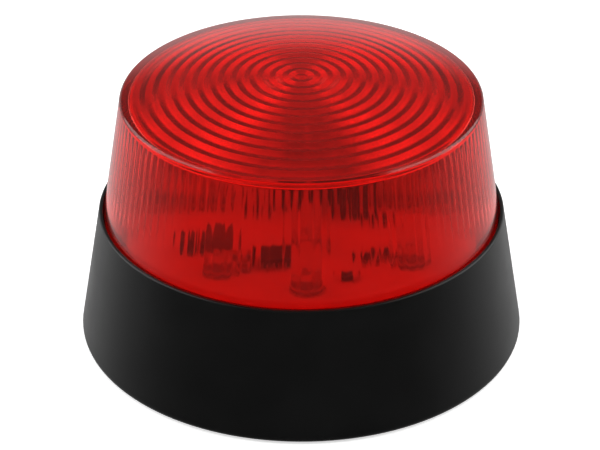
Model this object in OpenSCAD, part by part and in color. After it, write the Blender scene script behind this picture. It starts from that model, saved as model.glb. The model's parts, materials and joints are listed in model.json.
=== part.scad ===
// Round LED strobe beacon for an alarm system: a black tapered base, a red twist-off lens,
// and a circuit board with seven LEDs. +Z is up along the axis and the front is at -Y.

/* [Base] */
// Diameter of the foot
foot_d = 77; // [76:0.5:79]
// Diameter of the rim that the lens sits in
rim_d = 69.4; // [69.2:0.1:70.2]
// Height of the rim
rim_h = 23.2; // [23:0.1:24]
// Thickness of the side wall
wall = 2.2; // [1.8:0.1:2.6]
// Thickness of the floor
floor_t = 2.4; // [2:0.1:3]

/* [Lens] */
// Diameter of the lens where it leaves the rim
lens_d = 67.5; // [67.2:0.1:67.7]
// Draft of the lens wall, in degrees
lens_draft = 8.9; // [8:0.1:9.5]
// Height of the top of the dome
lens_top = 48.7; // [48:0.1:50]
// Radius of the sphere that the dome is a part of
dome_r = 107.5; // [100:0.5:120]
// Radius of the rounded shoulder between wall and dome
shoulder_r = 0.8; // [0.5:0.1:2]
// Thickness of the lens wall and top
lens_t = 2.1; // [1.8:0.1:2.4]
// Number of concentric rings inside the top
ring_count = 13; // [6:1:13]
// Distance from one ring to the next
ring_pitch = 2.15; // [1.8:0.05:2.15]
// Height of a ring's ridge
ring_h = 0.4; // [0.2:0.05:0.6]

/* [Twist lock] */
// Number of lugs on the lens
lug_count = 4; // [3:1:4]
// Width of a lug, in degrees
lug_deg = 14; // [10:1:15]
// Turn from locked to free, in degrees
twist_deg = 18; // [16:1:20]
// Clearance between lens and base
twist_gap = 0.3; // [0.3:0.05:0.4]

/* [Mounting] */
// Distance between the two mounting holes
mount_spacing = 46; // [44:0.5:47]
// Diameter of a mounting hole
mount_hole_d = 4.5; // [4:0.1:5]
// Diameter of the cable hole through the grommet
cable_hole_d = 6; // [4:0.5:6.5]

/* [Circuit board] */
// Diameter of the board
board_d = 58.6; // [57:0.2:58.6]
// Thickness of the board
board_t = 1.6; // [1.2:0.2:1.6]
// Height of the board's upper face
board_top = 17.8; // [17.6:0.1:18.2]
// Diameter of an LED's body
led_d = 5; // [4.8:0.1:5]
// Height of an LED over the board
led_h = 8.2; // [8:0.1:9]
// Diameter of an electrolytic capacitor
cap_d = 5; // [4:0.5:5.5]
// Height of an electrolytic capacitor over the board
cap_h = 11; // [9:0.5:14]

/* [Hidden] */
$fn = 96;

eps = 0.01;
base_lean = atan((foot_d - rim_d) / 2 / rim_h);
foot_round = 1;
rim_round = 0.35;
rim_bore_r = lens_d / 2 + twist_gap;
seat_h = 2.8;
seat_z = rim_h - seat_h;
ledge_t = 3;
ledge_z = seat_z - ledge_t;
lug_t = 2;
lug_top = ledge_z - 0.4;
lug_bottom = lug_top - lug_t;
lug_proud = 1;
neck_t = 1.5;
neck_r = lens_d / 2 - 2.2;
ledge_r = neck_r + twist_gap;
channel_r = neck_r + lug_proud + 0.4;
lug_step = 360 / lug_count;
lug_az = 45;
notch_slack_deg = 1.6;
stop_deg = 4;
stop_az = (lug_deg + stop_deg) / 2 + 1;

seal_w = 0.7;
seal_t = 0.75;
seal_r = rim_bore_r - 0.8;
seal_groove_r = seal_r - 0.05;
gasket_out_r = foot_d / 2 - 2;
gasket_w = 3;
gasket_t = 1;
boss_h = 1.6;
boss_r = 4.5;
grommet_flange_r = cable_hole_d / 2 + 3;
grommet_neck_r = cable_hole_d / 2 + 1.5;
grommet_flange_t = 1;
cable_y = 8;

board_z = board_top - board_t;
screw_at = [[110, 25], [182, 25], [250, 25]];
rest_at = [[35, 25], [-35, 25]];
post_r = 3.1;
screw_r = 1.2;
screw_len = 9;
screw_head_r = 2.4;
screw_head_h = 1.6;
screw_hole_r = 1.6;
drive_w = 0.6;
notch_w = 6;

led_at = [[0.95, -17.2], [18, -8.4], [16.6, 10.2], [-1, 18.4], [-16.4, 9.4], [-13.5, -11.4]];
led_inner_at = [1.1, -4.7];
flange_r = led_d / 2 + 0.4;
flange_t = 1;
lead_r = 0.25;
lead_hole_r = 0.4;
lead_pitch = 2.54;
lead_below = 1.8;
cap_left_xy = [-1.7, 8.6];
cap_right_xy = [9.2, 5.8];
cap_rear_xy = [4.1, 10.4];
cap_lead_pitch = 2;
terminal_xy = [8.5, 18];
terminal_size = [10, 7.6, 9.5];
terminal_pitch = 5;
terminal_screw_r = 1.8;
terminal_screw_h = 2.6;
terminal_pocket = 4;
terminal_pin_r = 0.5;
pin_hole_r = 0.75;

// places on the board: x, y and the turn in degrees
timer_at = [-4.6, -9, 6];
timer_size = [5, 4, 1.5];
timer_lift = 0.15;
leg_pitch = 1.27;
leg_w = 0.4;
driver_at = [-13.6, -4, 8];
driver_size = [2.5, 2.6, 1.6];
switch_at = [7.65, -14.15, 5];
switch_size = [2.6, 1.4, 1];
diode_at = [-18.4, -4.5, 12];
diode_size = [2.6, 3.6, 2];
resistors_at = [
    [10.8, -8.3, -64], [13.6, -6.8, -67], [-7.6, 6, 90], [-12.4, 12.6, 40], [13.2, 3.4, 90], [11.6, 10.2, 90]
];
resistor_size = [3.1, 1.6, 0.6];
chip_capacitors_at = [[-10.2, -8, 0], [-8.9, -10.6, 90], [-8.4, 16.4, 20]];
chip_capacitor_size = [2, 1.3, 1.1];

function arc(cx, cy, r, from, to, steps = 5) =
    [for (i = [0:steps]) let (a = from + (to - from) * i / steps) [cx + r * cos(a), cy + r * sin(a)]];

// Outer radius of the base at height z, and of the lens wall at height z
function base_r(z) = foot_d / 2 - z * tan(base_lean);
function lens_r(z) = lens_d / 2 - (z - rim_h) * tan(lens_draft);
// Height of a dome at radius r, for the dome that lies t below the outer one
function dome_z(r, t = 0) = lens_top - dome_r + sqrt(pow(dome_r - t, 2) - r * r);

// Centre of a circle of radius q that touches the lens wall and dome from inside, for a wall t thick
function shoulder_z(q, t, lo, hi, n = 30) =
    n == 0 ? lo
    : let (mid = (lo + hi) / 2, r = lens_r(mid) - (t + q) / cos(lens_draft))
      norm([r, mid - lens_top + dome_r]) > dome_r - t - q
      ? shoulder_z(q, t, lo, mid, n - 1)
      : shoulder_z(q, t, mid, hi, n - 1);
function shoulder(q, t, steps = 5) =
    let (z = shoulder_z(q, t, rim_h, lens_top),
         r = lens_r(z) - (t + q) / cos(lens_draft),
         dome_a = atan2(z - lens_top + dome_r, r))
    arc(r, z, q, lens_draft, dome_a, steps);

// Places a child at an azimuth counted from the front and a distance from the axis
module at(az, r, z = 0) {
    rotate([0, 0, az])
        translate([0, -r, z])
            children();
}

// A ring segment of width deg whose middle is at azimuth az
module segment(az, deg, inner, outer, z, h) {
    rotate([0, 0, az - 90 - deg / 2])
        rotate_extrude(angle = deg)
            translate([inner, z])
                square([outer - inner, h]);
}

module ring(inner, outer, z, h) {
    translate([0, 0, z])
        difference() {
            cylinder(r = outer, h = h);
            translate([0, 0, -eps])
                cylinder(r = inner, h = h + 2 * eps);
        }
}

module hole(r, z, h) {
    translate([0, 0, z - eps])
        cylinder(r = r, h = h + 2 * eps);
}

module base_shell() {
    lean_r = foot_d / 2 - (foot_round + sin(base_lean) * foot_round) / cos(base_lean);
    inside_z = lug_bottom - 2;
    rotate_extrude()
        polygon(concat(
            [[0, 0]],
            arc(lean_r, foot_round, foot_round, -90, base_lean),
            arc(rim_d / 2 - rim_round, rim_h - rim_round, rim_round, base_lean, 90, 4),
            [
                [rim_bore_r, rim_h],
                [rim_bore_r, seat_z - seal_t],
                [seal_groove_r, seat_z - seal_t],
                [seal_groove_r, seat_z],
                [ledge_r, seat_z],
                [ledge_r, ledge_z],
                [channel_r, ledge_z],
                [channel_r, inside_z],
                [base_r(floor_t) - wall, floor_t],
                [0, floor_t]
            ]
        ));
}

module base_housing() {
    color([0.09, 0.09, 0.09])
        difference() {
            union() {
                base_shell();
                for (p = screw_at)
                    at(p[0], p[1], floor_t - eps)
                        cylinder(r = post_r, h = board_z - floor_t + eps);
                for (p = rest_at)
                    at(p[0], p[1], floor_t - eps)
                        cylinder(r = post_r, h = board_z - floor_t + eps);
                for (s = [-1, 1])
                    translate([s * mount_spacing / 2, 0, floor_t - eps])
                        cylinder(r = boss_r, h = boss_h + eps);
                // a stop beside each lug where it is locked, and another where it comes free
                for (i = [0:lug_count - 1], a = [-stop_az, twist_deg + stop_az])
                    segment(lug_az + i * lug_step + a, stop_deg,
                            ledge_r + 0.2, channel_r + 0.5, lug_bottom, ledge_z - lug_bottom + 0.5);
            }
            // entry notches for the lugs
            for (i = [0:lug_count - 1])
                segment(lug_az + i * lug_step + twist_deg, lug_deg + notch_slack_deg,
                        ledge_r - 1, channel_r - 0.1, ledge_z - 0.2, ledge_t + 0.4);
            // groove for the gasket under the foot
            ring(gasket_out_r - gasket_w, gasket_out_r, -eps, gasket_t + eps);
            for (s = [-1, 1])
                translate([s * mount_spacing / 2, 0, 0])
                    hole(mount_hole_d / 2, 0, floor_t + boss_h);
            translate([0, cable_y, 0])
                hole(grommet_neck_r, 0, floor_t);
            translate([0, cable_y, 0])
                hole(grommet_flange_r, 0, grommet_flange_t);
            for (p = screw_at)
                at(p[0], p[1], 0)
                    hole(screw_r + 0.05, board_z - screw_len, screw_len);
        }
}

module wall_gasket() {
    color([0.2, 0.2, 0.2])
        ring(gasket_out_r - gasket_w, gasket_out_r, 0, gasket_t);
}

module cable_grommet() {
    color([0.16, 0.16, 0.16])
        translate([0, cable_y, 0])
            difference() {
                union() {
                    cylinder(r = grommet_flange_r, h = grommet_flange_t);
                    cylinder(r = grommet_neck_r, h = floor_t + grommet_flange_t);
                    translate([0, 0, floor_t])
                        cylinder(r = grommet_flange_r, h = grommet_flange_t);
                }
                hole(cable_hole_d / 2, 0, floor_t + grommet_flange_t);
            }
}

module lens_gasket() {
    color([0.12, 0.12, 0.12])
        ring(seal_r, seal_r + seal_w, seat_z - seal_t, seal_t);
}

// The underside of the lens top carries the rings, each a low ridge with two equal slopes
module lens_shell() {
    inner_q = 0.5;
    neck_in_r = neck_r - neck_t;
    skirt_z = seat_z + twist_gap;
    neck_top = rim_h - 0.8;
    rings = [for (i = [0:ring_count - 1]) each [
        [(i + 0.5) * ring_pitch, dome_z((i + 0.5) * ring_pitch, lens_t + ring_h)],
        [(i + 1) * ring_pitch, dome_z((i + 1) * ring_pitch, lens_t)]
    ]];
    inner_shoulder = shoulder(inner_q, lens_t, 3);
    rotate_extrude()
        polygon(concat(
            [[0, lens_top]],
            [for (i = [1:5]) let (r = shoulder(shoulder_r, 0)[5][0] * i / 6) [r, dome_z(r)]],
            [for (i = [5:-1:0]) shoulder(shoulder_r, 0)[i]],
            [
                [lens_r(rim_h), rim_h],
                [lens_d / 2, skirt_z],
                [neck_r, skirt_z],
                [neck_r, lug_bottom],
                [neck_in_r, lug_bottom],
                [neck_in_r, skirt_z],
                [lens_r(neck_top) - lens_t, neck_top]
            ],
            inner_shoulder,
            [for (i = [len(rings) - 1:-1:0]) rings[i]],
            [[0, dome_z(0, lens_t)]]
        ));
}

module lens() {
    color([0.75, 0.05, 0.04, 0.8]) {
        lens_shell();
        for (i = [0:lug_count - 1])
            segment(lug_az + i * lug_step, lug_deg, neck_r - eps, neck_r + lug_proud, lug_bottom, lug_t);
    }
}

module circuit_board() {
    color([0.93, 0.93, 0.9])
        difference() {
            translate([0, 0, board_z])
                cylinder(r = board_d / 2, h = board_t);
            for (p = screw_at)
                at(p[0], p[1], 0)
                    hole(screw_hole_r, board_z, board_t);
            at_leads()
                hole(lead_hole_r, board_z, board_t);
            at_capacitor_leads()
                hole(lead_hole_r, board_z, board_t);
            at_terminals()
                hole(pin_hole_r, board_z, board_t);
            translate([terminal_xy[0] - notch_w / 2, terminal_xy[1] + 6, board_z - eps])
                cube([notch_w, 8, board_t + 2 * eps]);
        }
}

module board_screws() {
    color([0.75, 0.75, 0.75])
        for (p = screw_at)
            at(p[0], p[1], board_top) {
                difference() {
                    cylinder(r = screw_head_r, h = screw_head_h);
                    for (a = [0, 90])
                        rotate([0, 0, a])
                            translate([-1.3, -drive_w / 2, screw_head_h - 0.8])
                                cube([2.6, drive_w, 1]);
                }
                translate([0, 0, -screw_len + 1])
                    cylinder(r = screw_r, h = screw_len - 1 + eps);
            }
}

// One LED with its flange on the board: a straight body under a round dome
module led() {
    dome = led_d / 2;
    cylinder(r = flange_r, h = flange_t);
    rotate_extrude()
        polygon(concat([[0, 0], [dome, 0]], arc(0, led_h - dome, dome, 0, 90, 8)));
}

module outer_led(i) {
    color([0.9, 0.85, 0.85, 0.8])
        translate([led_at[i][0], led_at[i][1], board_top])
            led();
}

module led_1() { outer_led(0); }
module led_2() { outer_led(1); }
module led_3() { outer_led(2); }
module led_4() { outer_led(3); }
module led_5() { outer_led(4); }
module led_6() { outer_led(5); }

module led_inner() {
    color([0.9, 0.85, 0.85, 0.8])
        translate([led_inner_at[0], led_inner_at[1], board_top])
            led();
}

// Places its children at both leads of every LED
module at_leads() {
    for (p = concat(led_at, [led_inner_at]), s = [-1, 1])
        translate([p[0] + s * lead_pitch / 2, p[1], 0])
            children();
}

module at_capacitor_leads() {
    for (p = [cap_left_xy, cap_right_xy, cap_rear_xy], s = [-1, 1])
        translate([p[0], p[1] + s * cap_lead_pitch / 2, 0])
            children();
}

module at_terminals() {
    for (s = [-1, 1])
        translate([terminal_xy[0] + s * terminal_pitch / 2, terminal_xy[1], 0])
            children();
}

module lead() {
    translate([0, 0, board_z - lead_below])
        cylinder(r = lead_r, h = board_t + lead_below, $fn = 24);
}

module led_leads() {
    color([0.8, 0.8, 0.8])
        at_leads()
            lead();
}

module capacitor_leads() {
    color([0.8, 0.8, 0.8])
        at_capacitor_leads()
            lead();
}

// An upright can in a sleeve, with the crimp groove near its foot
module capacitor(xy) {
    r = cap_d / 2;
    color([0.07, 0.07, 0.08])
        translate([xy[0], xy[1], board_top])
            rotate_extrude()
                polygon([
                    [0, 0], [r - 0.3, 0], [r, 0.4], [r, 1.2], [r - 0.35, 1.6], [r, 2],
                    [r, cap_h - 0.5], [r - 0.5, cap_h], [0, cap_h]
                ]);
}

module capacitor_left() { capacitor(cap_left_xy); }
module capacitor_right() { capacitor(cap_right_xy); }
module capacitor_rear() { capacitor(cap_rear_xy); }

// A body of size s standing on the board, or lift over it, at place p
module chip(p, s, lift = 0) {
    translate([p[0], p[1], board_top + lift])
        rotate([0, 0, p[2]])
            translate([-s[0] / 2, -s[1] / 2, 0])
                cube(s);
}

module timer_chip() {
    color([0.1, 0.1, 0.1])
        chip(timer_at, timer_size, timer_lift);
}

// Four gull-wing legs a side: a foot on the board and an upright against the body
module timer_chip_legs() {
    foot = 0.6;
    color([0.8, 0.8, 0.8])
        translate([timer_at[0], timer_at[1], board_top])
            rotate([0, 0, timer_at[2]])
                for (i = [-1.5:1:1.5], s = [0, 1])
                    mirror([0, s, 0])
                        translate([i * leg_pitch - leg_w / 2, timer_size[1] / 2, 0]) {
                            translate([0, leg_w, 0])
                                cube([leg_w, foot, 0.2]);
                            cube([leg_w, leg_w, 0.9]);
                        }
}

module driver_transistor() {
    color([0.1, 0.1, 0.1])
        chip(driver_at, driver_size);
}

module switch_transistor() {
    color([0.1, 0.1, 0.1])
        chip(switch_at, switch_size);
}

module input_diode() {
    color([0.1, 0.1, 0.1])
        chip(diode_at, diode_size);
}

module chip_resistors() {
    color([0.12, 0.12, 0.14])
        for (p = resistors_at)
            chip(p, resistor_size);
}

module chip_capacitors() {
    color([0.6, 0.48, 0.36])
        for (p = chip_capacitors_at)
            chip(p, chip_capacitor_size);
}

module terminal_block() {
    s = terminal_size;
    color([0.1, 0.35, 0.2])
        difference() {
            chip([terminal_xy[0], terminal_xy[1], 0], s);
            at_terminals()
                hole(terminal_screw_r + 0.2, board_top + s[2] - terminal_pocket, terminal_pocket);
            // wire mouths on the outer side
            at_terminals()
                translate([-1.4, 0, board_top + 1.2])
                    cube([2.8, s[1], 3.2]);
        }
}

module terminal_screws() {
    color([0.8, 0.8, 0.75])
        at_terminals()
            translate([0, 0, board_top + terminal_size[2] - terminal_pocket])
                difference() {
                    cylinder(r = terminal_screw_r, h = terminal_screw_h);
                    translate([-terminal_screw_r - 1, -drive_w / 2, terminal_screw_h - 1])
                        cube([2 * terminal_screw_r + 2, drive_w, 2]);
                }
}

module terminal_pins() {
    color([0.8, 0.8, 0.75])
        at_terminals()
            translate([0, 0, board_z - lead_below])
                cylinder(r = terminal_pin_r, h = board_t + lead_below, $fn = 24);
}

base_housing();
wall_gasket();
cable_grommet();
lens_gasket();
lens();
circuit_board();
board_screws();
led_1();
led_2();
led_3();
led_4();
led_5();
led_6();
led_inner();
led_leads();
capacitor_left();
capacitor_right();
capacitor_rear();
capacitor_leads();
timer_chip();
timer_chip_legs();
driver_transistor();
switch_transistor();
input_diode();
chip_resistors();
chip_capacitors();
terminal_block();
terminal_screws();
terminal_pins();
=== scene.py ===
"""The looks of the alarm strobe beacon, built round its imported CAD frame. Lengths are in metres."""

import json
import math

import bmesh
import bpy
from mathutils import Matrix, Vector


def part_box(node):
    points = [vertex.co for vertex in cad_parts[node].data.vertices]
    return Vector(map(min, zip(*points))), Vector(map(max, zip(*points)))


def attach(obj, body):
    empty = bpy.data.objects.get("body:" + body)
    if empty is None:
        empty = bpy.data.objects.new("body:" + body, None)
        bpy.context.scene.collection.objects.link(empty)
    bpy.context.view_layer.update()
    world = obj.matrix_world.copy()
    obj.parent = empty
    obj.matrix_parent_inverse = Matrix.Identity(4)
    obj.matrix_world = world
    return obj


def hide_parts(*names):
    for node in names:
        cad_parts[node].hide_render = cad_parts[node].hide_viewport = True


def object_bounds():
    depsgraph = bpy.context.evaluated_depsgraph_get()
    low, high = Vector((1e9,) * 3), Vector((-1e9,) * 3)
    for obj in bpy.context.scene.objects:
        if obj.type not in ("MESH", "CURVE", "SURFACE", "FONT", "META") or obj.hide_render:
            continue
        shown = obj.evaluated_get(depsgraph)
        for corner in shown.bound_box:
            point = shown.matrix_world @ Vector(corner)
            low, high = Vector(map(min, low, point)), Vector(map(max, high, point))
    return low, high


MM = 0.001

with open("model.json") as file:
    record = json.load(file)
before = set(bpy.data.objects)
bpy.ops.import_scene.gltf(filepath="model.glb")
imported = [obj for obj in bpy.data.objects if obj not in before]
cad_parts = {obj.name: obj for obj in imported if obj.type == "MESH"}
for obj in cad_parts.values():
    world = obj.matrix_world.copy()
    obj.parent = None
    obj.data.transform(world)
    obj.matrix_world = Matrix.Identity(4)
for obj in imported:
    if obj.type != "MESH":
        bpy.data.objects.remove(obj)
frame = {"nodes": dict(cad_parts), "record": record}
nodes = frame["nodes"]
cad_low, cad_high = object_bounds()

# ---------------------------------------------------------------- camera

AIM = Vector((-0.23, 0, 18.9)) * MM
CAMERA_DISTANCE = 440.2 * MM
CAMERA_ELEVATION = math.radians(30.66)
CAMERA_LENS = 153.2  # in millimetres, as is the sensor
CAMERA_SENSOR = 36
NEAREST, FARTHEST = 0.01, 20

camera = bpy.data.objects.new("camera", bpy.data.cameras.new("camera"))
bpy.context.scene.collection.objects.link(camera)
camera.data.lens = CAMERA_LENS
camera.data.sensor_width = CAMERA_SENSOR
camera.data.clip_start = NEAREST
camera.data.clip_end = FARTHEST
camera.location = Vector((
    0,
    -CAMERA_DISTANCE * math.cos(CAMERA_ELEVATION),
    AIM.z + CAMERA_DISTANCE * math.sin(CAMERA_ELEVATION),
))
camera.rotation_mode = "QUATERNION"
camera.rotation_quaternion = (AIM - camera.location).to_track_quat("-Z", "Y")
bpy.context.scene.camera = camera

# ---------------------------------------------------------------- sizes

_, base_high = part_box("base_housing")
lens_low, lens_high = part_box("lens")
_, board_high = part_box("circuit_board")

RIM_Z = base_high.z
LENS_R = lens_high.x
LENS_TOP = lens_high.z
NECK_BOTTOM = lens_low.z
BOARD_TOP = board_high.z

# The lens: a drafted wall, a rounded shoulder and a spherical dome over a neck with four lugs
LENS_DRAFT = math.radians(8.9)
DOME_R = 107.5 * MM
SHOULDER_R = 0.8 * MM
INNER_SHOULDER_R = 0.5 * MM
LENS_T = 2.1 * MM
SKIRT_Z = RIM_Z - 2.5 * MM
NECK_R = LENS_R - 2.2 * MM
NECK_IN_R = NECK_R - 1.5 * MM
LUG_T = 2 * MM
LUG_PROUD = 1 * MM
LUG_AZ = [45, 135, 225, 315]
LUG_HALF_DEG = 7
RING_COUNT = 13
RING_PITCH = 2.15 * MM
RING_H = 0.4 * MM
# (distance from a ring's outer edge in pitches, share of its height)
RING_PROFILE = [(0, 0), (0.24, 0.5), (0.44, 0.94), (0.5, 1), (0.56, 0.94), (0.76, 0.5)]
FLUTE_COUNT = 121
FLUTE_STEPS = 6
FLUTE_H = 0.085 * MM
FLUTE_BOTTOM = RIM_Z + 2 * MM
FLUTE_FULL = RIM_Z + 6 * MM
NECK_TOP = RIM_Z - 0.8 * MM
MID_WALL_Z = RIM_Z + 12 * MM
RINGS_LOWEST = LENS_TOP - 12 * MM
NECK_LOOK_TOP = SKIRT_Z + 0.3 * MM

# The LEDs: a clear body on a flange, with two posts and a cup inside
LED_NODES = [f"led_{i}" for i in range(1, 7)] + ["led_inner"]
LED_LIFT = 0.04 * MM
FLANGE_PROUD = 0.4 * MM
FLANGE_H = 0.9 * MM
FLANGE_EDGE = 0.12 * MM
LEAD_PITCH = 2.54 * MM
POST_W, POST_T = 0.5 * MM, 0.45 * MM
CUP_POST_H, WIRE_POST_H = 2.6 * MM, 3.2 * MM
POST_FOOT = 0.15 * MM
CUP_ARM_X, WIRE_ARM_X = -0.35 * MM, 0.95 * MM
CUP_ARM = (1.5 * MM, 0.7 * MM, 0.35 * MM)
WIRE_ARM = (0.9 * MM, POST_T, 0.25 * MM)
# (radius, height over its post) in millimetres
CUP_PROFILE = [(0.5, 0.35), (0.75, 0.8), (0.62, 0.8), (0.36, 0.45)]
LED_SIDES, CUP_SIDES, MARK_SIDES = 40, 24, 48
MARK_IN_R, MARK_OUT_R = 3 * MM, 3.12 * MM
MARK_T = 0.02 * MM

# The other parts on the board: end caps and solder of the chip parts, legs, and the tops of the cans
CAP_L, CAP_OVER_W, CAP_OVER_H, CAP_TAPER = 0.45 * MM, 0.06 * MM, 0.03 * MM, 0.04 * MM
SOLDER_L, SOLDER_OVER_W, SOLDER_H, SOLDER_TAPER = 0.9 * MM, 0.2 * MM, 0.22 * MM, 0.15 * MM
END_SHIFT = 0.2 * MM
LEG_T = 0.2 * MM
LEG_OUT = 0.25 * MM
DIODE_LEG_L, DIODE_LEG_W_SHARE = 0.9 * MM, 0.6
TRANSISTOR_LEG = (0.45 * MM, 0.8 * MM, LEG_T)
# On each long side of a transistor, places as shares of its length
TRANSISTOR_LEG_PLACES = ((-1, (-0.36, 0.36)), (1, (0,)))
CAN_NODES = ("capacitor_left", "capacitor_right", "capacitor_rear")
CAN_RIM = 0.55 * MM
SCORE_HALF_W = 0.07 * MM
CAN_TOP_BELOW, CAN_TOP_ABOVE = 0.02 * MM, 0.04 * MM
PACKAGE_EDGE, CHIP_EDGE, TERMINAL_EDGE = 0.15 * MM, 0.05 * MM, 0.2 * MM


# ---------------------------------------------------------------- mesh helpers

SHARP_DEG = 30
ON_AXIS = 1e-7


def arc(cx, cz, r, start, end, steps):
    """Points on an arc in the (r, z) plane, with angles in radians."""
    turns = [start + (end - start) * i / steps for i in range(steps + 1)]
    return [(cx + r * math.cos(a), cz + r * math.sin(a)) for a in turns]


def add_object(name, mesh, body="base"):
    """Links a mesh as a piece that rides on a body."""
    piece = bpy.data.objects.new(name, mesh)
    bpy.context.scene.collection.objects.link(piece)
    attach(piece, body)
    return piece


def smooth(mesh):
    """Smooth shading, with a sharp edge wherever two faces meet at more than SHARP_DEG."""
    bm = bmesh.new()
    bm.from_mesh(mesh)
    limit = math.radians(SHARP_DEG)
    for face in bm.faces:
        face.smooth = True
    for edge in bm.edges:
        edge.smooth = edge.calc_face_angle(0) < limit
    bm.to_mesh(mesh)
    bm.free()


def revolve(name, rows, count):
    """A closed mesh of revolution. rows are functions of the azimuth in radians that give (r, z), or a
    height alone for a point on the axis."""
    bm = bmesh.new()
    angles = [2 * math.pi * i / count for i in range(count)]
    rings = []
    for row in rows:
        if not callable(row):
            rings.append([bm.verts.new((0, 0, row))])
            continue
        ring = []
        for a in angles:
            r, z = row(a)
            ring.append(bm.verts.new((r * math.sin(a), -r * math.cos(a), z)))
        rings.append(ring)
    pairs = list(zip(rings, rings[1:]))
    if len(rings[0]) > 1:
        pairs.append((rings[-1], rings[0]))
    for first, second in pairs:
        for i in range(count):
            j = (i + 1) % count
            corners = [
                first[i % len(first)], first[j % len(first)],
                second[j % len(second)], second[i % len(second)],
            ]
            unique = list(dict.fromkeys(corners))
            if len(unique) > 2:
                bm.faces.new(unique)
    bmesh.ops.recalc_face_normals(bm, faces=bm.faces)
    mesh = bpy.data.meshes.new(name)
    bm.to_mesh(mesh)
    bm.free()
    smooth(mesh)
    return mesh


def plain(points):
    """Rows of a revolve that are the same all the way round."""
    return [(lambda a, p=p: p) if p[0] > ON_AXIS else p[1] for p in points]


def at(azimuth_deg, r, z=0.0):
    """A point at an azimuth counted from the front and a distance from the axis."""
    a = math.radians(azimuth_deg)
    return Vector((r * math.sin(a), -r * math.cos(a), z))


# ---------------------------------------------------------------- materials

LENS_TINT = (0.79, 0.056, 0.044)
LENS_SHADOW_TINT = (0.62, 0.155, 0.125)
# Most of a noise lies between these values
NOISE_START, NOISE_END = 0.3, 0.7
NOISE_ROUGHNESS = 0.6


def new_material(name, color, roughness, **inputs):
    """A Principled material with any other inputs by name. Returns it with its node tree and shader."""
    mat = bpy.data.materials.new(name)
    mat.use_nodes = True
    tree = mat.node_tree
    shader = tree.nodes["Principled BSDF"]
    shader.inputs["Base Color"].default_value = (*color, 1)
    shader.inputs["Roughness"].default_value = roughness
    for key, value in inputs.items():
        shader.inputs[key.replace("_", " ")].default_value = value
    return mat, tree, shader


def object_noise(tree, scale, detail=4.0):
    """A noise texture in the piece's own coordinates, with scale in features per metre."""
    place = tree.nodes.new("ShaderNodeTexCoord")
    noise = tree.nodes.new("ShaderNodeTexNoise")
    noise.inputs["Scale"].default_value = scale
    noise.inputs["Detail"].default_value = detail
    noise.inputs["Roughness"].default_value = NOISE_ROUGHNESS
    tree.links.new(place.outputs["Object"], noise.inputs["Vector"])
    return noise.outputs["Fac"]


def map_range(tree, source, start, end, low, high):
    """A node that goes from low to high while the source goes from start to end."""
    span = tree.nodes.new("ShaderNodeMapRange")
    span.inputs["From Min"].default_value = start
    span.inputs["From Max"].default_value = end
    span.inputs["To Min"].default_value = low
    span.inputs["To Max"].default_value = high
    tree.links.new(source, span.inputs["Value"])
    return span


def vary(tree, source, socket, low, high):
    """Drives a socket from low to high with a noise."""
    span = map_range(tree, source, NOISE_START, NOISE_END, low, high)
    tree.links.new(span.outputs["Result"], socket)


def vary_color(tree, source, socket, low, high):
    """Drives a colour socket between two colours with a noise."""
    ramp = tree.nodes.new("ShaderNodeValToRGB")
    ramp.color_ramp.elements[0].position = NOISE_START
    ramp.color_ramp.elements[0].color = (*low, 1)
    ramp.color_ramp.elements[1].position = NOISE_END
    ramp.color_ramp.elements[1].color = (*high, 1)
    tree.links.new(source, ramp.inputs["Fac"])
    tree.links.new(ramp.outputs["Color"], socket)


def bump(tree, source, shader, strength, distance):
    """Adds a bump of the given depth in metres."""
    node = tree.nodes.new("ShaderNodeBump")
    node.inputs["Strength"].default_value = strength
    node.inputs["Distance"].default_value = distance
    tree.links.new(source, node.inputs["Height"])
    tree.links.new(node.outputs["Normal"], shader.inputs["Normal"])


def base_plastic():
    """Matte black ABS with the fine grain of a spark-eroded mould."""
    mat, tree, shader = new_material(
        "base_plastic", color=(0.006, 0.006, 0.006), roughness=0.36, Specular_IOR_Level=0.38,
    )
    fine = object_noise(tree, scale=5200, detail=3)
    broad = object_noise(tree, scale=90, detail=3)
    bump(tree, fine, shader, strength=0.35, distance=0.03 * MM)
    vary(tree, broad, shader.inputs["Roughness"], low=0.33, high=0.40)
    vary_color(
        tree, broad, shader.inputs["Base Color"],
        low=(0.0055, 0.0055, 0.0055), high=(0.0075, 0.0075, 0.0075),
    )
    return mat


def lens_plastic(name, smoothest, roughest, clear_share, metallic=0.0):
    """Clear red polycarbonate. Shadow rays pass straight through it with a paler tint, so that the lamps
    light the inside."""
    mat, tree, shader = new_material(
        name, LENS_TINT, smoothest, Metallic=metallic, Transmission_Weight=clear_share, IOR=1.46,
    )
    haze = object_noise(tree, scale=260, detail=3)
    vary(tree, haze, shader.inputs["Roughness"], smoothest, roughest)
    path = tree.nodes.new("ShaderNodeLightPath")
    clear = tree.nodes.new("ShaderNodeBsdfTransparent")
    clear.inputs["Color"].default_value = (*LENS_SHADOW_TINT, 1)
    mix = tree.nodes.new("ShaderNodeMixShader")
    tree.links.new(path.outputs["Is Shadow Ray"], mix.inputs["Fac"])
    tree.links.new(shader.outputs["BSDF"], mix.inputs[1])
    tree.links.new(clear.outputs["BSDF"], mix.inputs[2])
    tree.links.new(mix.outputs["Shader"], tree.nodes["Material Output"].inputs["Surface"])
    return mat


def rubber():
    """Soft black rubber of the seals and the grommet."""
    mat, tree, shader = new_material("rubber", color=(0.02, 0.02, 0.02), roughness=0.75)
    fine = object_noise(tree, scale=3000)
    bump(tree, fine, shader, strength=0.4, distance=0.03 * MM)
    vary(tree, fine, shader.inputs["Roughness"], low=0.68, high=0.82)
    return mat


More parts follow.
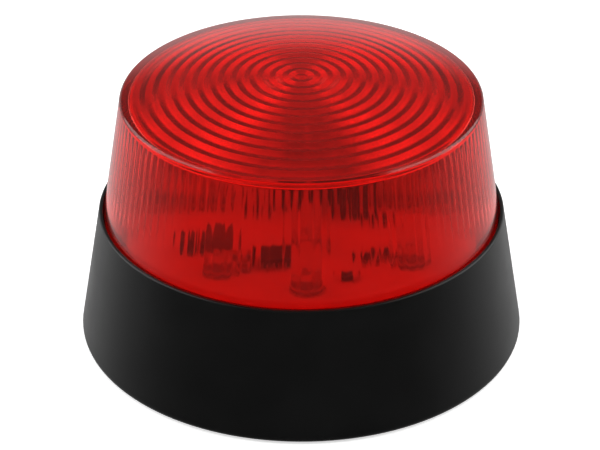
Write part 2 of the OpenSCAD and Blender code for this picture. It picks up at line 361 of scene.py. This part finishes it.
def board_mask():
    """White solder mask over a glass-fibre board."""
    mat, tree, shader = new_material("board", color=(0.84, 0.84, 0.81), roughness=0.35)
    weave = object_noise(tree, scale=1800, detail=2)
    broad = object_noise(tree, scale=70, detail=3)
    bump(tree, weave, shader, strength=0.2, distance=0.02 * MM)
    vary(tree, weave, shader.inputs["Roughness"], low=0.28, high=0.42)
    vary_color(
        tree, broad, shader.inputs["Base Color"],
        low=(0.80, 0.80, 0.76), high=(0.88, 0.88, 0.86),
    )
    return mat


def plated_steel():
    """Tinned and zinc-plated steel with fine scratches."""
    mat, tree, shader = new_material(
        "plated_steel", color=(0.72, 0.71, 0.68), roughness=0.32, Metallic=1.0,
    )
    scratches = object_noise(tree, scale=2400, detail=5)
    vary(tree, scratches, shader.inputs["Roughness"], low=0.22, high=0.42)
    bump(tree, scratches, shader, strength=0.15, distance=0.01 * MM)
    return mat


def led_epoxy():
    """Clear epoxy. It bends light less than real epoxy, so that the board shows through it."""
    mat, tree, shader = new_material(
        "led_epoxy", color=(0.95, 0.93, 0.90), roughness=0.15, Transmission_Weight=0.9, IOR=1.12,
    )
    flow = object_noise(tree, scale=700, detail=2)
    vary(tree, flow, shader.inputs["Roughness"], low=0.12, high=0.22)
    return mat


def shiny_sleeve():
    """Shrunk sleeve of a capacitor, a little wavy."""
    mat, tree, shader = new_material(
        "capacitor_sleeve", color=(0.012, 0.012, 0.014), roughness=0.3,
    )
    waves = object_noise(tree, scale=500, detail=2)
    bump(tree, waves, shader, strength=0.3, distance=0.05 * MM)
    vary(tree, waves, shader.inputs["Roughness"], low=0.24, high=0.36)
    return mat


def moulded(name, dark, light, roughness):
    """A dull moulded surface whose colour varies between two near ones."""
    spread = 0.06
    mat, tree, shader = new_material(name, dark, roughness)
    fine = object_noise(tree, scale=3500)
    bump(tree, fine, shader, strength=0.3, distance=0.02 * MM)
    vary(tree, fine, shader.inputs["Roughness"], roughness - spread, roughness + spread)
    vary_color(tree, fine, shader.inputs["Base Color"], dark, light)
    return mat


MATERIALS = {
    "base_plastic": base_plastic(),
    "lens_plastic": lens_plastic("lens_plastic", smoothest=0.07, roughest=0.11, clear_share=0.96),
    "rubber": rubber(),
    "board": board_mask(),
    "plated_steel": plated_steel(),
    "led_epoxy": led_epoxy(),
    "capacitor_sleeve": shiny_sleeve(),
    "chip_body": moulded("chip_body", (0.022, 0.022, 0.022), (0.036, 0.036, 0.036), 0.5),
    "resistor_body": moulded("resistor_body", (0.015, 0.015, 0.018), (0.03, 0.03, 0.034), 0.35),
    "chip_ceramic": moulded("chip_ceramic", (0.36, 0.27, 0.18), (0.46, 0.35, 0.25), 0.45),
    "terminal_plastic": moulded("terminal_plastic", (0.02, 0.14, 0.06), (0.03, 0.18, 0.08), 0.4),
}

for subpart in frame["record"]["subparts"]:
    node = nodes[subpart["node"]]
    node.data.materials.clear()
    node.data.materials.append(MATERIALS[subpart["material_slot"]])


# ---------------------------------------------------------------- lens

def dome_z(r, depth=0.0):
    """Height at radius r of the dome that lies depth below the outer one."""
    return LENS_TOP - DOME_R + math.sqrt((DOME_R - depth) ** 2 - r * r)


def lens_wall_r(z):
    """Outer radius of the lens wall at height z."""
    return LENS_R - (z - RIM_Z) * math.tan(LENS_DRAFT)


def shoulder(radius, thickness, steps):
    """The arc between wall and dome, thickness inside the outer surface, from the wall upwards."""
    halvings = 40
    inset = (thickness + radius) / math.cos(LENS_DRAFT)
    low, high = RIM_Z, LENS_TOP
    for _ in range(halvings):
        z = (low + high) / 2
        reach = math.hypot(lens_wall_r(z) - inset, z - LENS_TOP + DOME_R)
        if reach > DOME_R - thickness - radius:
            high = z
        else:
            low = z
    r = lens_wall_r(low) - inset
    return arc(r, low, radius, LENS_DRAFT, math.atan2(low - LENS_TOP + DOME_R, r), steps)


def flute_depth(azimuth):
    """How far a flute's rounded ridge stands in from the wall, from 0 in a groove to 1 on the ridge."""
    u = azimuth * FLUTE_COUNT / (2 * math.pi) % 1
    return 1 - (2 * u - 1) ** 2


def fluted(r, z, share=1.0):
    """A row of the inner wall with its flutes, at a share of their full depth."""
    return lambda a: (r - FLUTE_H * share * flute_depth(a), z)


def lug(r, z):
    """A row of the neck that stands proud where there is a lug."""
    def row(a):
        turn = math.degrees(a)
        on_lug = any(abs((turn - az + 180) % 360 - 180) < LUG_HALF_DEG for az in LUG_AZ)
        return (r + LUG_PROUD if on_lug else r, z)
    return row


def ring_rows():
    """The underside of the top from the rim inwards: rounded rings with sharp grooves between them."""
    points = []
    for ring in range(RING_COUNT, 0, -1):
        for u, share in RING_PROFILE:
            r = (ring - u) * RING_PITCH
            points.append((r, dome_z(r, LENS_T + RING_H * share)))
    return points


def make_lens():
    """The whole lens as one moulding, with other looks on its rings and on its neck."""
    dome_steps = 10
    fade_steps = 4
    wall_steps = 4
    outer = shoulder(SHOULDER_R, thickness=0, steps=8)
    inner = shoulder(INNER_SHOULDER_R, thickness=LENS_T, steps=5)
    dome_r = outer[-1][0]
    dome = [(dome_r * i / dome_steps, dome_z(dome_r * i / dome_steps)) for i in range(1, dome_steps)]
    lug_top = NECK_BOTTOM + LUG_T
    lug_edge = 0.02 * MM
    round_r = 0.15 * MM
    rows = [LENS_TOP]
    rows += plain(dome + outer[::-1])
    rows += plain([
        (lens_wall_r(MID_WALL_Z), MID_WALL_Z),
        (LENS_R, RIM_Z),
        (LENS_R, SKIRT_Z + round_r),
        (LENS_R - round_r, SKIRT_Z),
        (NECK_R, SKIRT_Z),
        (NECK_R, lug_top + lug_edge),
    ])
    rows += [lug(NECK_R, lug_top), lug(NECK_R, NECK_BOTTOM)]
    rows += plain([
        (NECK_IN_R + round_r, NECK_BOTTOM),
        (NECK_IN_R, NECK_BOTTOM + round_r),
        (NECK_IN_R, SKIRT_Z),
        (lens_wall_r(NECK_TOP) - LENS_T, NECK_TOP),
    ])
    for i in range(fade_steps):
        z = FLUTE_BOTTOM + (FLUTE_FULL - FLUTE_BOTTOM) * i / fade_steps
        rows.append(fluted(lens_wall_r(z) - LENS_T, z, i / fade_steps))
    for i in range(wall_steps + 1):
        z = FLUTE_FULL + (inner[0][1] - FLUTE_FULL) * i / wall_steps
        rows.append(fluted(lens_wall_r(z) - LENS_T, z))
    rows += plain(inner[1:])
    rows += plain(ring_rows())
    rows.append(dome_z(0, LENS_T + RING_H / 2))
    mesh = revolve("lens_moulding", rows, FLUTE_COUNT * FLUTE_STEPS)
    piece = add_object("lens_moulding", mesh, "lens")
    mesh.materials.append(MATERIALS["lens_plastic"])
    # A share of metal brings out the light and dark side of each ring
    mesh.materials.append(lens_plastic(
        "lens_rings", smoothest=0.2, roughest=0.27, clear_share=0.95, metallic=0.45,
    ))
    mesh.materials.append(lens_plastic("lens_neck", smoothest=0.5, roughest=0.6, clear_share=0.35))
    rings_look, neck_look = 1, 2
    for face in mesh.polygons:
        place = face.center
        r = math.hypot(place.x, place.y)
        if place.z > RINGS_LOWEST and face.normal.z < 0 and r < RING_COUNT * RING_PITCH:
            face.material_index = rings_look
        elif place.z < NECK_LOOK_TOP:
            face.material_index = neck_look
    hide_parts("lens")


make_lens()


# ---------------------------------------------------------------- parts on the board

WELD_DISTANCE = 0.001 * MM
LEVEL_TOLERANCE = 0.01 * MM
# Corners 0 to 3 go round the bottom of a box and 4 to 7 round its top
BOX_FACES = ((3, 2, 1, 0), (4, 5, 6, 7), (0, 1, 5, 4), (1, 2, 6, 5), (2, 3, 7, 6), (3, 0, 4, 7))


def islands(node_name):
    """The corners of each separate body of a CAD node."""
    bm = bmesh.new()
    bm.from_mesh(nodes[node_name].data)
    bmesh.ops.remove_doubles(bm, verts=bm.verts, dist=WELD_DISTANCE)
    seen = set()
    groups = []
    for start in bm.verts:
        if start in seen:
            continue
        seen.add(start)
        stack, group = [start], []
        while stack:
            vert = stack.pop()
            group.append(vert.co.copy())
            for edge in vert.link_edges:
                other = edge.other_vert(vert)
                if other not in seen:
                    seen.add(other)
                    stack.append(other)
        groups.append(group)
    bm.free()
    return groups


def packages(node_name):
    """Centre on the board, long axis, length, width and height of each box-shaped body of a node."""
    found = []
    for group in islands(node_name):
        low = min(co.z for co in group)
        corners = [co for co in group if co.z < low + LEVEL_TOLERANCE]
        first = corners[0]
        short, long, _ = sorted(corners[1:], key=lambda co: (co - first).length)
        centre = sum(corners, Vector()) / len(corners)
        length = (long - first).length
        height = max(co.z for co in group) - low
        found.append((centre, (long - first) / length, length, (short - first).length, height))
    return found


def block(bm, centre, along, size, taper=0.0):
    """Adds a box that stands on centre, with its length along a direction. taper draws its top in."""
    across = Vector((-along.y, along.x, 0))
    levels = [(0, 0), (size[2], taper)]
    corners = []
    for z, inset in levels:
        for sx, sy in ((-1, -1), (1, -1), (1, 1), (-1, 1)):
            reach = along * sx * (size[0] / 2 - inset) + across * sy * (size[1] / 2 - inset)
            corners.append(bm.verts.new(centre + reach + Vector((0, 0, z))))
    for face in BOX_FACES:
        bm.faces.new([corners[i] for i in face])


def finish_mesh(bm, name, slot):
    """Turns a bmesh into a piece of the base."""
    mesh = bpy.data.meshes.new(name)
    bm.to_mesh(mesh)
    bm.free()
    mesh.materials.append(MATERIALS[slot])
    add_object(name, mesh)


def revolved_part(name, rows, count, centre, slot):
    """A turned piece of the base with its axis through centre."""
    mesh = revolve(name, rows, count)
    for vert in mesh.vertices:
        vert.co += centre
    mesh.materials.append(MATERIALS[slot])
    return add_object(name, mesh)


def box_centre(node_name):
    """Centre of a node's box seen from above, at height 0."""
    low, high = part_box(node_name)
    return Vector(((low.x + high.x) / 2, (low.y + high.y) / 2, 0))


def make_led(node_name):
    """A clear LED body with its flange, a hair over the board so that the faces don't meet."""
    low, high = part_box(node_name)
    flange_r = (high.x - low.x) / 2
    body_r = flange_r - FLANGE_PROUD
    foot = low.z + LED_LIFT
    flange_top = foot + FLANGE_H
    tip = arc(0, high.z - body_r, body_r, 0, math.pi / 2, steps=9)
    rows = [foot] + plain([
        (flange_r - FLANGE_EDGE, foot),
        (flange_r, foot + FLANGE_EDGE),
        (flange_r, flange_top - FLANGE_EDGE),
        (flange_r - FLANGE_EDGE, flange_top),
        (body_r + FLANGE_EDGE, flange_top),
        (body_r, flange_top + FLANGE_EDGE),
    ] + tip[:-1]) + [high.z]
    centre = box_centre(node_name)
    piece = revolved_part(f"{node_name}_epoxy", rows, LED_SIDES, centre, "led_epoxy")
    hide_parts(node_name)


def make_lead_frame(node_name):
    """The two posts inside an LED, and the reflector cup on one of them."""
    centre = box_centre(node_name)
    foot = BOARD_TOP + POST_FOOT
    x = Vector((1, 0, 0))
    bm = bmesh.new()
    for side, height in ((-1, CUP_POST_H), (1, WIRE_POST_H)):
        post = centre + x * side * LEAD_PITCH / 2 + Vector((0, 0, foot))
        block(bm, post, x, (POST_W, POST_T, height))
    cup_z = foot + CUP_POST_H
    block(bm, centre + Vector((CUP_ARM_X, 0, cup_z)), x, CUP_ARM)
    block(bm, centre + Vector((WIRE_ARM_X, 0, foot + WIRE_POST_H)), x, WIRE_ARM)
    finish_mesh(bm, f"{node_name}_frame", "plated_steel")
    cup = [(r * MM, cup_z + z * MM) for r, z in CUP_PROFILE]
    rows = [cup[0][1]] + plain(cup) + [cup[-1][1]]
    revolved_part(f"{node_name}_cup", rows, CUP_SIDES, centre, "plated_steel")


def make_led_marks():
    """The thin ring printed on the board round each LED."""
    bm = bmesh.new()
    top = BOARD_TOP + MARK_T
    section = ((MARK_IN_R, BOARD_TOP), (MARK_IN_R, top), (MARK_OUT_R, top), (MARK_OUT_R, BOARD_TOP))
    for name in LED_NODES:
        centre = box_centre(name)
        loops = []
        for r, z in section:
            turns = [360 * i / MARK_SIDES for i in range(MARK_SIDES)]
            loops.append([bm.verts.new(centre + at(turn, r, z)) for turn in turns])
        for first, second in zip(loops, loops[1:] + loops[:1]):
            for i in range(MARK_SIDES):
                j = (i + 1) % MARK_SIDES
                bm.faces.new((first[i], first[j], second[j], second[i]))
    bmesh.ops.recalc_face_normals(bm, faces=bm.faces)
    finish_mesh(bm, "board_marks", "chip_body")


def make_terminations():
    """The tinned end caps of the chip resistors and capacitors, and the solder at their feet."""
    bm = bmesh.new()
    for name in ("chip_resistors", "chip_capacitors"):
        for centre, along, length, width, height in packages(name):
            cap = (CAP_L, width + CAP_OVER_W, height + CAP_OVER_H)
            solder = (SOLDER_L, width + SOLDER_OVER_W, SOLDER_H)
            for side in (-1, 1):
                end = centre + along * side * length / 2
                block(bm, end - along * side * END_SHIFT, along, cap, CAP_TAPER)
                block(bm, end + along * side * END_SHIFT, along, solder, SOLDER_TAPER)
    finish_mesh(bm, "chip_ends", "plated_steel")


def make_package_legs():
    """The flat legs of the diode and the two transistors: on their short ends, or on their long sides."""
    bm = bmesh.new()
    for centre, along, length, width, _ in packages("input_diode"):
        for side in (-1, 1):
            foot = centre + along * side * (length / 2 + LEG_OUT)
            block(bm, foot, along, (DIODE_LEG_L, width * DIODE_LEG_W_SHARE, LEG_T))
    for name in ("driver_transistor", "switch_transistor"):
        for centre, along, length, width, _ in packages(name):
            across = Vector((-along.y, along.x, 0))
            for side, places in TRANSISTOR_LEG_PLACES:
                for place in places:
                    foot = centre + across * side * (width / 2 + LEG_OUT) + along * place * length
                    block(bm, foot, along, TRANSISTOR_LEG)
    finish_mesh(bm, "package_legs", "plated_steel")


def make_capacitor_tops():
    """The bare end of each can inside the shrunk sleeve, scored with a cross."""
    bm = bmesh.new()
    steps = 8
    for name in CAN_NODES:
        low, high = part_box(name)
        centre = box_centre(name)
        radius = (high.x - low.x) / 2 - CAN_RIM
        bottom = Vector((0, 0, high.z - CAN_TOP_BELOW))
        top = Vector((0, 0, high.z + CAN_TOP_ABOVE))
        for turn in (45, 135, 225, 315):
            outline = [centre + at(turn, SCORE_HALF_W * math.sqrt(2))]
            for i in range(steps + 1):
                outline.append(
                    centre + at(turn - 45 + 90 * i / steps, radius) + at(turn, SCORE_HALF_W)
                )
            lower = [bm.verts.new(co + bottom) for co in outline]
            upper = [bm.verts.new(co + top) for co in outline]
            bm.faces.new(lower[::-1])
            bm.faces.new(upper)
            for i in range(len(outline)):
                j = (i + 1) % len(outline)
                bm.faces.new((lower[i], lower[j], upper[j], upper[i]))
    bmesh.ops.recalc_face_normals(bm, faces=bm.faces)
    finish_mesh(bm, "capacitor_tops", "plated_steel")


def round_edges(node_name, width):
    """Bevels the sharp edges of a CAD node."""
    modifier = nodes[node_name].modifiers.new("edges", "BEVEL")
    modifier.width = width
    modifier.segments = 2
    modifier.limit_method = "ANGLE"


for led_name in LED_NODES:
    make_led(led_name)
    make_lead_frame(led_name)
make_led_marks()
make_terminations()
make_package_legs()
make_capacitor_tops()
for body_name in ("timer_chip", "driver_transistor", "switch_transistor", "input_diode"):
    round_edges(body_name, PACKAGE_EDGE)
for body_name in ("chip_resistors", "chip_capacitors"):
    round_edges(body_name, CHIP_EDGE)
round_edges("terminal_block", TERMINAL_EDGE)


# ---------------------------------------------------------------- stage and light

LIGHT_AIM = Vector((0, 0, 0.03))
FLOOR_HALF_SIZE = 6.0
FLOOR_GAP = 0.05 * MM


def area_light(name, place, width, height, power):
    """A rectangular lamp that faces the object."""
    data = bpy.data.lights.new(name, "AREA")
    data.shape = "RECTANGLE"
    data.size, data.size_y = width, height
    data.energy = power
    light = bpy.data.objects.new(name, data)
    light.location = place
    light.rotation_mode = "QUATERNION"
    light.rotation_quaternion = (LIGHT_AIM - Vector(place)).to_track_quat("-Z", "Y")
    bpy.context.scene.collection.objects.link(light)
    return light


def make_floor():
    """A white floor just under the foot. It glows a little and doesn't show in reflections."""
    mesh = bpy.data.meshes.new("floor")
    bm = bmesh.new()
    bmesh.ops.create_grid(bm, x_segments=1, y_segments=1, size=FLOOR_HALF_SIZE)
    bm.to_mesh(mesh)
    bm.free()
    floor = bpy.data.objects.new("floor", mesh)
    floor.location.z = cad_low.z - FLOOR_GAP
    bpy.context.scene.collection.objects.link(floor)
    mat, _, shader = new_material(
        "floor", color=(0.86, 0.86, 0.86), roughness=0.9, Emission_Strength=0.62,
    )
    shader.inputs["Emission Color"].default_value = (1, 1, 1, 1)
    mesh.materials.append(mat)
    floor.visible_glossy = False


def join_values(tree, operation, first, second):
    """The result of a maths node on two values."""
    node = tree.nodes.new("ShaderNodeMath")
    node.operation = operation
    tree.links.new(first, node.inputs[0])
    tree.links.new(second, node.inputs[1])
    return node.outputs["Value"]


def make_world():
    """A bright band round the horizon, behind and beside the object, that fades upwards and to the front.
    The camera itself sees plain white."""
    world = bpy.data.worlds.new("studio")
    bpy.context.scene.world = world
    world.use_nodes = True
    tree = world.node_tree
    back = tree.nodes["Background"]
    back.inputs["Color"].default_value = (1, 1, 1, 1)
    place = tree.nodes.new("ShaderNodeTexCoord")
    split = tree.nodes.new("ShaderNodeSeparateXYZ")
    tree.links.new(place.outputs["Generated"], split.inputs["Vector"])
    height = map_range(tree, split.outputs["Z"], start=0.05, end=0.35, low=0.62, high=0.10)
    depth = map_range(tree, split.outputs["Y"], start=-0.5, end=0.9, low=0.03, high=1)
    for fade in (height, depth):
        fade.interpolation_type = "SMOOTHSTEP"
    band = join_values(tree, "MULTIPLY", height.outputs["Result"], depth.outputs["Result"])
    path = tree.nodes.new("ShaderNodeLightPath")
    seen = join_values(tree, "MAXIMUM", band, path.outputs["Is Camera Ray"])
    tree.links.new(seen, back.inputs["Strength"])


make_floor()
make_world()
area_light("left_box", (-0.9, 0.42, 0.75), width=0.95, height=1.3, power=8.5)
area_light("right_box", (0.9, 0.42, 0.75), width=0.95, height=1.3, power=8.5)
# The front lamps and the top lamp light the inside without a reflection of their own
for side in (-1, 1):
    front_box = area_light("front_box", (side, -0.2, 0.75), width=0.6, height=1.3, power=5.5)
    front_box.visible_glossy = False
top_box = area_light("top_box", (0, 0, 1.3), width=1.2, height=1.2, power=4)
top_box.visible_glossy = False
bpy.context.scene.view_settings.view_transform = "Standard"
